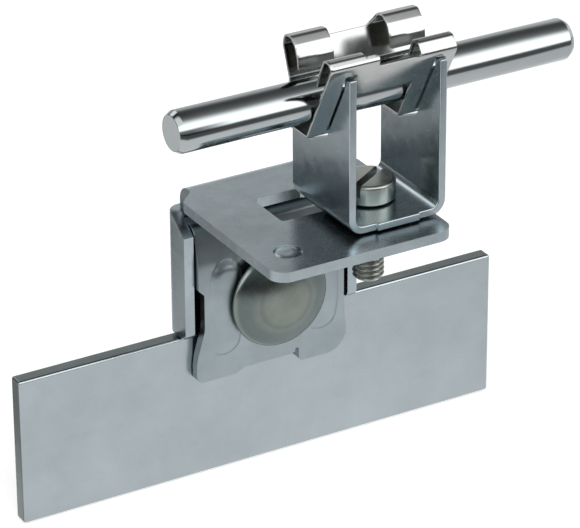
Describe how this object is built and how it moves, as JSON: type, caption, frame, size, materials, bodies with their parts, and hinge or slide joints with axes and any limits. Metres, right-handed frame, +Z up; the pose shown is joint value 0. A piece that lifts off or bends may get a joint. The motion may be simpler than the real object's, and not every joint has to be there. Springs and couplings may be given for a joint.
{
  "type": "roof conductor holder",
  "caption": "Stainless seam clamp with a U-shaped holder and a spring clip that keeps a round conductor parallel to a standing roof seam.",
  "frame": {"origin": "middle of the seam strip's lower edge face, under the clamping bolt's axis", "axes": "+X along the seam and the conductor, +Y from the front jaw to the rear jaw, +Z up"},
  "size_m": [0.1047, 0.057, 0.0947],
  "materials": {
    "strip_steel": "satin",
    "bracket_steel": "satin",
    "jaw_steel": "satin",
    "bolt_steel": "satin",
    "washer_steel": "satin",
    "nut_steel": "satin",
    "holder_steel": "satin",
    "clip_steel": "polished",
    "screw_steel": "satin",
    "rod_steel": "polished"
  },
  "bodies": {
    "bracket": {"seam_strip": "strip_steel", "clamp_bracket": "bracket_steel", "lock_washer_m8": "washer_steel"},
    "jaw": {"front_jaw": "jaw_steel", "carriage_bolt_m8": "bolt_steel"},
    "nut": {"hex_nut_m8": "nut_steel"},
    "holder": {"holder_body": "holder_steel", "spring_clip": "clip_steel"},
    "screw": {"cheese_head_screw_m6": "screw_steel"},
    "conductor": {"conductor_rod": "rod_steel"}
  },
  "joints": [
    {"name": "jaw_slide", "type": "slide", "parent": "bracket", "child": "jaw", "axis": [0, -1, 0], "range_m": [0, 0.0048]},
    {"name": "nut_turn", "type": "hinge", "parent": "bracket", "child": "nut", "pos_m": [0, 0.0098, 0.0363], "axis": [0, 1, 0], "range_deg": [0, 1383]},
    {"name": "holder_turn", "type": "hinge", "parent": "bracket", "child": "holder", "pos_m": [0.00995, -0.02215, 0.0596], "axis": [0, 0, 1], "continuous": true},
    {"name": "screw_turn", "type": "hinge", "parent": "bracket", "child": "screw", "pos_m": [0.00995, -0.02215, 0.0614], "axis": [0, 0, 1], "range_deg": [0, 360]},
    {"name": "conductor_slide", "type": "slide", "parent": "holder", "child": "conductor", "axis": [1, 0, 0], "range_m": [-0.025, 0.025]}
  ],
  "couplings": [
    {"joint": "nut_turn", "follows": "jaw_slide", "rad_per_m": 5026.5}
  ]
}
